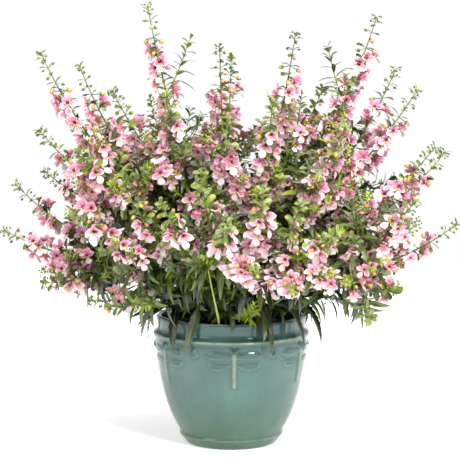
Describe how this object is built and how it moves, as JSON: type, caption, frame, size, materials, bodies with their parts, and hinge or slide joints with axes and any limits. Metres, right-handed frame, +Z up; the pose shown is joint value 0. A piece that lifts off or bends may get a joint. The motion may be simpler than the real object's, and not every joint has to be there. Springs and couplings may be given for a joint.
{
  "type": "potted angelonia",
  "caption": "Bushy pink angelonia with leafy branching shoots and upright flower spikes, growing in a round glazed planter with a frieze of raised dragonflies.",
  "frame": {"origin": "centre of the planter's flat base, on the surface it stands on", "axes": "+Z up, along the planter's axis; +X to the right and -Y towards the viewer of the picture, with one dragonfly of the frieze facing -Y"},
  "size_m": [0.5657, 0.4556, 0.5501],
  "materials": {
    "glaze": "glossy celadon glaze, cream where it breaks over the relief",
    "mix": "loose dark potting mix",
    "foliage": "satin green leaves and stems",
    "petals": "soft pink petals with pale edges and a plum throat"
  },
  "bodies": {
    "root": {"flower_spike_01_1": "petals", "flower_spike_01_2": "petals", "flower_spike_01_3": "petals", "flower_spike_02_1": "petals", "flower_spike_02_2": "petals", "flower_spike_02_3": "petals", "flower_spike_03_1": "petals", "flower_spike_03_2": "petals", "flower_spike_03_3": "petals", "flower_spike_04_1": "petals", "flower_spike_04_2": "petals", "flower_spike_05_1": "petals", "flower_spike_05_2": "petals", "flower_spike_06_1": "petals", "flower_spike_06_2": "petals", "flower_spike_06_3": "petals", "flower_spike_07_1": "petals", "flower_spike_07_2": "petals", "flower_spike_07_3": "petals", "flower_spike_08_1": "petals", "flower_spike_08_2": "petals", "flower_spike_09_1": "petals", "flower_spike_09_2": "petals", "flower_spike_09_3": "petals", "flower_spike_10_1": "petals", "flower_spike_10_2": "petals", "flower_spike_10_3": "petals", "flower_spike_11_1": "petals", "flower_spike_11_2": "petals", "flower_spike_11_3": "petals", "flower_spike_12_1": "petals", "flower_spike_12_2": "petals", "flower_spike_12_3": "petals", "flower_spike_13_1": "petals", "flower_spike_13_2": "petals", "flower_spike_13_3": "petals", "flower_spike_14_1": "petals", "flower_spike_14_2": "petals", "flower_spike_14_3": "petals", "flower_spike_15_1": "petals", "flower_spike_15_2": "petals", "flower_spike_15_3": "petals", "planter": "glaze", "potting_mix": "mix", "shoot_01": "foliage", "shoot_02": "foliage", "shoot_03": "foliage", "shoot_04": "foliage", "shoot_05": "foliage", "shoot_06": "foliage", "shoot_07": "foliage", "shoot_08": "foliage", "shoot_09": "foliage", "shoot_10": "foliage", "shoot_11": "foliage", "shoot_12": "foliage", "shoot_13": "foliage", "shoot_14": "foliage", "shoot_15": "foliage"}
  },
  "joints": []
}
